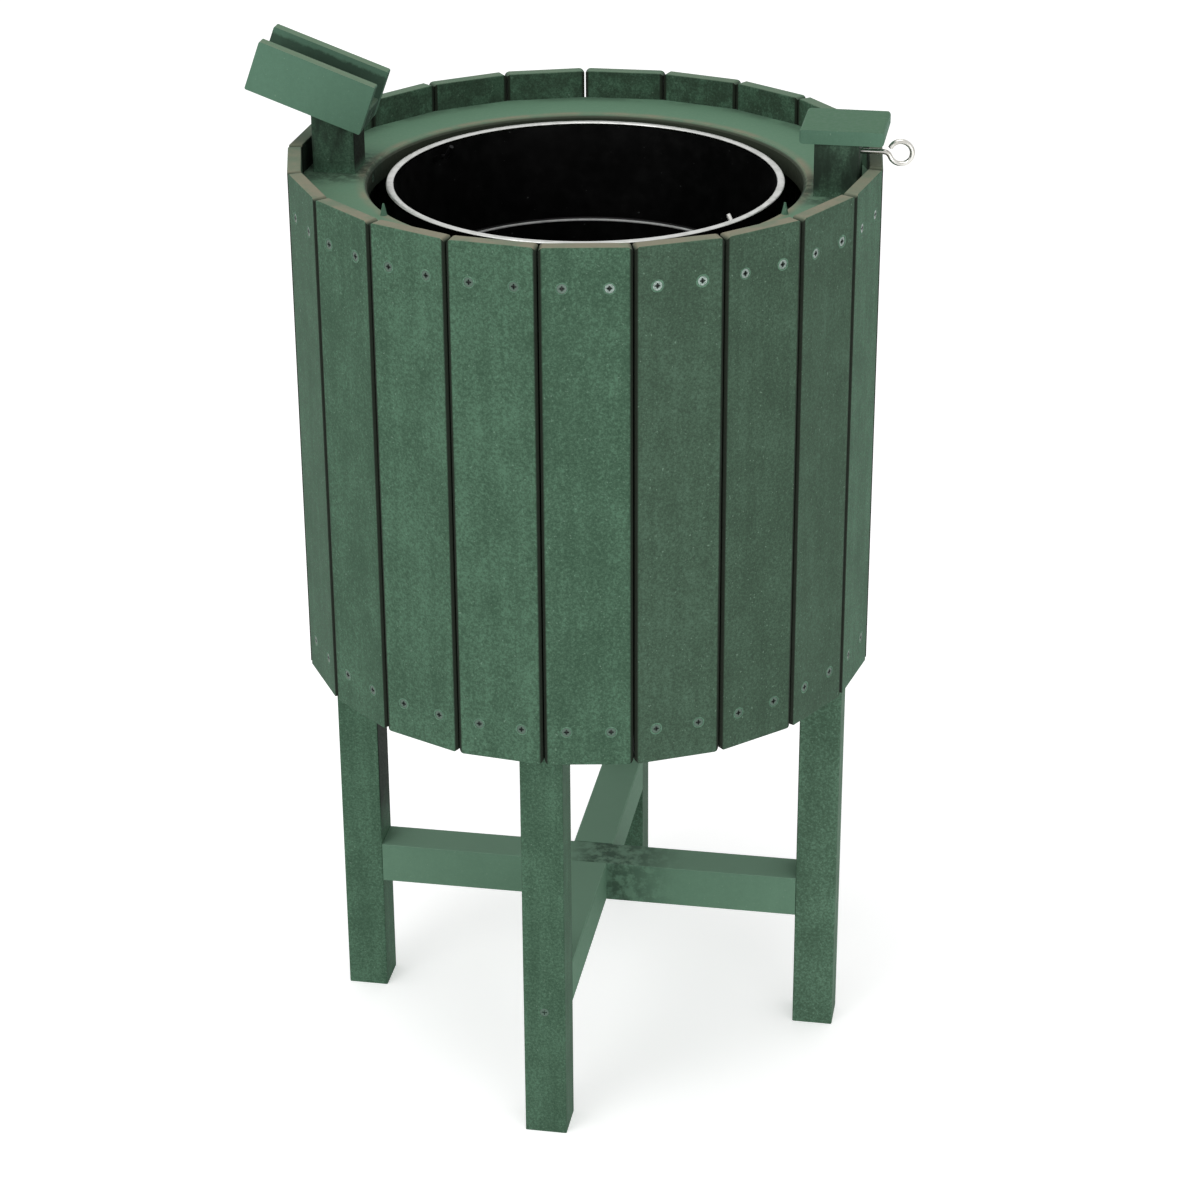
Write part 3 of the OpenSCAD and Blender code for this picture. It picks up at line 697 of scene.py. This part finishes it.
print("materials set")


def addPiece(name, points, faces, material, body):
    mesh = bpy.data.meshes.new(name)
    mesh.from_pydata(points.reshape(-1, 3).tolist(), [], [tuple(face) for face in faces])
    mesh.polygons.foreach_set("use_smooth", np.ones(len(mesh.polygons), bool))
    mesh.materials.append(material)
    mesh.update()
    piece = bpy.data.objects.new(name, mesh)
    bpy.context.scene.collection.objects.link(piece)
    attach(piece, body)
    return piece


def gridFaces(rows, columns, closeRows=False):
    # quads between neighbouring points of a grid whose columns close into a ring
    i = np.arange(rows if closeRows else rows - 1)[:, None]
    j = np.arange(columns)[None, :]
    nextI, nextJ = (i + 1) % rows, (j + 1) % columns
    corners = (
        i * columns + j,
        nextI * columns + j,
        nextI * columns + nextJ,
        i * columns + nextJ,
    )
    return np.stack([np.broadcast_to(c, (i.size, j.size)) for c in corners], -1).reshape(-1, 4)


def circle(count):
    return np.linspace(0, 2 * np.pi, count, endpoint=False)


# rim of the pail: the sheet's edge rolled flat, with a fine step where the roll closes (mm, and
# radians round the section); each wave of the dents has a share, a count and a start
rimPlan = {
    "inner": 165.99,
    "outer": 172.79,
    "low": 827.0,
    "top": 830.0,
    "power": 2.6,
    "dent": 0.08,
    "waves": ((0.6, 3, 0.4), (0.4, 7, 1.9)),
    "stepDepth": 0.18,
    "stepAt": 3.6,
    "stepWidth": 0.16,
    "around": 240,
    "ring": 32,
}


def rolledRim(plan):
    turn = circle(plan["around"])[:, None]
    t = circle(plan["ring"])[None, :]

    # a flattened round section: each of cosine and sine to the power 2 / power, its sign kept
    def flatten(v):
        return np.sign(v) * np.abs(v) ** (2 / plan["power"])

    half = (plan["outer"] - plan["inner"]) / 2 - plan["dent"]
    rise = (plan["top"] - plan["low"]) / 2 - plan["dent"]
    dent = plan["dent"] * sum(share * np.sin(n * turn + start) for share, n, start in plan["waves"])
    step = plan["stepDepth"] * np.exp(-(((t - plan["stepAt"]) / plan["stepWidth"]) ** 2))
    radius = (plan["inner"] + plan["outer"]) / 2 + (half - step) * flatten(np.cos(t)) + dent
    height = (plan["low"] + plan["top"]) / 2 + (rise - step) * flatten(np.sin(t))
    height = height + dent * np.cos(turn)
    points = np.stack([radius * np.cos(turn), radius * np.sin(turn), height], -1) / 1000
    faces = gridFaces(plan["around"], plan["ring"], True)
    return addPiece("rolledRim", points, faces, rimSteel, "pail")


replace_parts(rolledRim(rimPlan), "pail_rim")
print("rim made")

# screw eye: wire that leaves the post on the eye's axis, swings to one side and runs round
# (mm; degrees for where the loop starts and ends); closing are the radii of an end's last
# rings as shares of the wire's, and bulge is how far the cut end is rounded
eyePlan = {
    "start": 224.09,
    "middle": 272.09,
    "height": 866.0,
    "outer": 24.0,
    "wire": 4.5,
    "neck": 11.5,
    "leave": 204,
    "end": 518,
    "turnStep": 4.0,
    "pull": 0.45,
    "closing": (0.98, 0.85, 0.6, 0.25),
    "bulge": 1.2,
    "shankPoints": 24,
    "ring": 20,
}


def eyePath(plan):
    radius = (plan["outer"] - plan["wire"]) / 2
    angles = np.radians(np.arange(plan["leave"], plan["end"] + 1, plan["turnStep"]))
    loopX = plan["middle"] + radius * np.cos(angles)
    loopZ = plan["height"] + radius * np.sin(angles)
    loop = np.stack([loopX, loopZ], -1)
    # the swing from the axis to the loop is a cubic whose ends follow both directions
    a = np.array([plan["middle"] - radius - plan["neck"], plan["height"]])
    b = loop[0]
    along = np.array([-math.sin(angles[0]), math.cos(angles[0])])
    pull = plan["pull"] * np.linalg.norm(b - a)
    t = np.linspace(0, 1, 14)[1:-1, None]
    swing = (1 - t) ** 3 * a + 3 * (1 - t) ** 2 * t * (a + [pull, 0])
    swing = swing + 3 * (1 - t) * t**2 * (b - pull * along) + t**3 * b
    count = plan["shankPoints"]
    shank = np.stack([np.linspace(plan["start"], a[0], count), np.full(count, a[1])], -1)
    return np.concatenate([shank, swing, loop])


def eyeScrew(plan):
    path = eyePath(plan)
    ahead = np.gradient(path, axis=0)
    ahead /= np.linalg.norm(ahead, axis=1, keepdims=True)
    side = np.stack([ahead[:, 1], -ahead[:, 0]], -1)
    size = np.full(len(path), plan["wire"] / 2)
    # the end in the post is flat, so its last rings lie in one plane, and the cut end is rounded
    closing = np.array(plan["closing"])
    count = len(closing)
    cutEnd = path[-1:] + (1 - closing[:, None]) * plan["bulge"] * ahead[-1]
    path = np.concatenate([np.repeat(path[:1], count, 0), path, cutEnd])
    size = np.concatenate([size[:1] * closing[::-1], size, size[-1:] * closing])
    side = np.concatenate([np.repeat(side[:1], count, 0), side, np.repeat(side[-1:], count, 0)])
    t = circle(plan["ring"])
    flat = path[:, None, :] + size[:, None, None] * np.cos(t)[None, :, None] * side[:, None, :]
    points = np.stack([flat[..., 0], size[:, None] * np.sin(t)[None, :], flat[..., 1]], -1) / 1000
    rows, columns = points.shape[:2]
    first = list(range(columns))[::-1]
    last = list(range((rows - 1) * columns, rows * columns))
    faces = gridFaces(rows, columns).tolist() + [first, last]
    return addPiece("eyeScrew", points, faces, eyeSteel, "stand")


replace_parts(eyeScrew(eyePlan), "eye_screw")
print("eye screw made")

# lips: the soft lumber that each stave screw's head pushed up round itself (mm); the profile
# runs from the head outwards, as shares of the lip's width and of its rise, or of how deep it
# is sunk where it is negative; each wobble has a share and a count
lipPlan = {
    "inner": 4.05,
    "outer": 5.8,
    "rise": 0.22,
    "sink": 0.4,
    "around": 20,
    "profile": ((0.0, -1.0), (0.05, 0.2), (0.25, 0.9), (0.5, 1.0), (0.8, 0.4), (1.0, -1.0)),
    "grow": (0.75, 1.15),
    "wobbles": ((0.08, 2), (0.05, 5)),
    "seed": 12,
}


def lipPoints(plan, random, middle, out, across):
    profile = np.array(plan["profile"])
    t = circle(plan["around"])
    grow = random.uniform(*plan["grow"])
    wobble = 1 + sum(k * np.sin(n * t + random.uniform(0, 6)) for k, n in plan["wobbles"])
    width = plan["outer"] - plan["inner"]
    reach = plan["inner"] + width * profile[:, :1] * grow * wobble[None, :]
    rises = plan["rise"] * grow * profile[:, 1:]
    lift = np.where(profile[:, 1:] > 0, rises, plan["sink"] * profile[:, 1:]) + 0 * t
    ring = np.cos(t)[:, None] * across + np.sin(t)[:, None] * np.array([0, 0, 1])
    return middle + (reach[..., None] * ring + lift[..., None] * out) / 1000


def screwLips(plan, tub):
    loops, faces, count = [], [], 0
    random = np.random.default_rng(plan["seed"])
    quads = gridFaces(len(plan["profile"]), plan["around"], True)[:, ::-1]
    for height in tub["screwHeights"]:
        for board in range(1, tub["count"] + 1):
            angle = math.radians(tub["phase"] + 360 / tub["count"] * (board - 0.5) - 90)
            out = np.array([math.cos(angle), math.sin(angle), 0])
            across = np.array([-out[1], out[0], 0])
            for side in (-1, 1):
                middle = out * tub["wallOut"] + across * side * tub["screwSide"]
                middle = middle + np.array([0, 0, height])
                points = lipPoints(plan, random, middle, out, across)
                loops.append(points.reshape(-1, 3))
                faces.append(quads + count)
                count += points.shape[0] * points.shape[1]
    lip = recycledLumber("pushedLumber", 40.1, pushedLook)
    points, faces = np.concatenate(loops), np.concatenate(faces)
    return addPiece("screwLips", points, faces, lip, "stand")


screwLips(lipPlan, tubPlan)
print("screw lips made")

# stage: pale floor that shows white to the camera and keeps the soft shadow
stageLook = {"floorSize": 30.0, "floor": "#F4F4F4", "lift": 0.44, "world": 0.71}
white = (1, 1, 1, 1)


def makeFloor(look):
    half = look["floorSize"] / 2
    corners = [(x, y, 0) for x, y in ((-half, -half), (half, -half), (half, half), (-half, half))]
    mesh = bpy.data.meshes.new("floor")
    mesh.from_pydata(corners, [], [(0, 1, 2, 3)])
    floor = bpy.data.objects.new("floor", mesh)
    bpy.context.scene.collection.objects.link(floor)
    material, tree, shader, _ = newMaterial("paleFloor")
    rays = addNode(tree, "ShaderNodeLightPath").outputs
    kinds = ("Is Camera Ray", "Is Glossy Ray", "Is Transmission Ray")
    seen = mathOf(tree, "MAXIMUM", *[rays[kind] for kind in kinds])
    shader.inputs["Emission Color"].default_value = white
    values = {
        "Base Color": look["floor"],
        "Roughness": 0.9,
        "Specular IOR Level": 0.0,
        "Emission Strength": mathOf(tree, "MULTIPLY", seen, look["lift"]),
    }
    fill(tree, shader, values)
    mesh.materials.append(material)


def makeWorld(look):
    # the camera and mirrors see plain white, and everything else gets the weaker light
    world = bpy.data.worlds.new("studio")
    bpy.context.scene.world = world
    world.use_nodes = True
    sky = world.node_tree
    sky.nodes.clear()
    rays = addNode(sky, "ShaderNodeLightPath").outputs
    seen = mathOf(sky, "MAXIMUM", rays["Is Camera Ray"], rays["Is Glossy Ray"])
    strength = spread(sky, seen, 0, 1, look["world"], 1.0)
    light = addNode(sky, "ShaderNodeBackground", {"Color": white}, {"Strength": strength})
    addNode(sky, "ShaderNodeOutputWorld", {}, {"Surface": light.outputs[0]})


# lamps: round areas with their place, where they point, their width (m) and power (W)
lampPlans = {
    "keyLamp": ((-1.6, -2.6, 2.2), (0, 0, 0.55), 1.8, 18.5),
    "fillLamp": ((1.7, -2.5, 0.7), (0, 0, 0.35), 1.8, 16),
    "topLamp": ((-0.3, -0.5, 3.1), (0, 0, 0.8), 1.6, 16),
}


def addLamp(name, place, aim, size, power):
    data = bpy.data.lights.new(name, "AREA")
    data.shape = "DISK"
    data.size = size
    data.energy = power
    lamp = bpy.data.objects.new(name, data)
    lamp.location = place
    lamp.rotation_euler = (Vector(aim) - Vector(place)).to_track_quat("-Z", "Y").to_euler()
    bpy.context.scene.collection.objects.link(lamp)


makeFloor(stageLook)
makeWorld(stageLook)
for lampName, lampPlan in lampPlans.items():
    addLamp(lampName, *lampPlan)
print("stage set")
